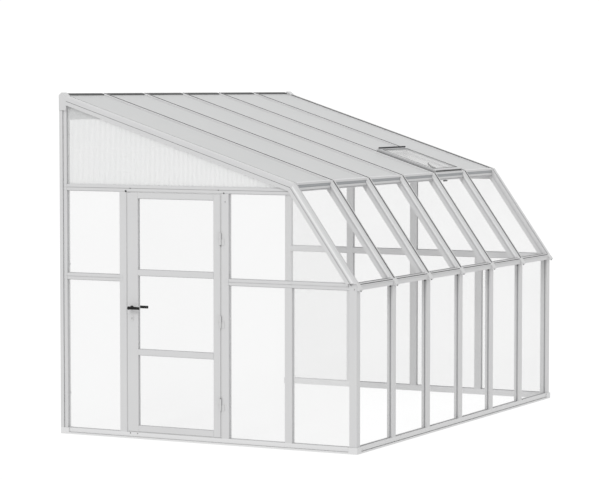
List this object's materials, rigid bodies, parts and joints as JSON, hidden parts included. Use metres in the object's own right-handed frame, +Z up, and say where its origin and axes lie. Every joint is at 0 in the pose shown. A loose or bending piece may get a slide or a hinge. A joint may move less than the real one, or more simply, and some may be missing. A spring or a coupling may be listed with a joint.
{
  "type": "lean-to greenhouse",
  "caption": "White plastic-framed lean-to greenhouse with clear walls, sloped front glazing, twin-wall roof, a glazed side door and a roof vent; open towards the house wall.",
  "frame": {"origin": "ground level, middle of the footprint's box", "axes": "+X along the house wall away from the door end, +Y towards the house wall, +Z up"},
  "size_m": [3.857, 2.558, 2.6266],
  "materials": {
    "white_frame": "satin white plastic profile",
    "white_metal": "white powder coat",
    "clear_pane": "clear polycarbonate sheet",
    "twin_wall": "translucent twin-wall polycarbonate",
    "seal": "matt grey sealing strip",
    "dark_stay": "dark grey plastic",
    "black_hardware": "satin black"
  },
  "bodies": {
    "frame": {"base_front": "white_frame", "base_door_end": "white_frame", "base_far_end": "white_frame", "base_corners": "white_frame", "wall_post_door_end": "white_frame", "wall_post_far_end": "white_frame", "corner_posts": "white_frame", "front_posts": "white_frame", "latch_post": "white_frame", "door_stop": "white_frame", "hinge_post": "white_frame", "lower_mullions": "white_frame", "far_end_posts": "white_frame", "mid_rails_door_end": "white_frame", "mid_rails_far_end": "white_frame", "transoms": "white_frame", "eave_beam": "white_frame", "break_purlins": "white_frame", "wall_ledger": "white_frame", "wall_connectors": "white_frame", "top_seal": "seal", "roof_rafters": "white_frame", "slope_rafters": "white_frame", "end_rafters_door_end": "white_frame", "end_rafters_far_end": "white_frame", "nose_caps": "white_frame", "roof_panels": "twin_wall", "gable_panel_door_end": "twin_wall", "gable_panel_far_end": "twin_wall", "vent_frame": "white_frame", "vent_sash": "white_frame", "vent_pane": "twin_wall", "vent_arm": "dark_stay", "slope_panes": "clear_pane", "front_panes": "clear_pane", "panes_door_end": "clear_pane", "panes_far_end": "clear_pane", "frame_hinge_leaves": "white_metal"},
    "door": {"door_stiles": "white_frame", "door_rails": "white_frame", "door_panes": "clear_pane", "door_plates": "black_hardware", "lock_plates": "white_metal", "door_hinge_leaves": "white_metal"},
    "handle": {"door_handle": "black_hardware"}
  },
  "joints": [
    {"name": "door_hinge", "type": "hinge", "parent": "frame", "child": "door", "pos_m": [-1.8805, -0.12833, 0.998], "axis": [0, 0, 1], "range_deg": [0, 150]},
    {"name": "handle_turn", "type": "hinge", "parent": "door", "child": "handle", "pos_m": [-1.8725, 0.64067, 0.998], "axis": [1, 0, 0], "range_deg": [0, 40], "stiffness_Nm_per_rad": 1.2, "springref_deg": -8.59}
  ]
}
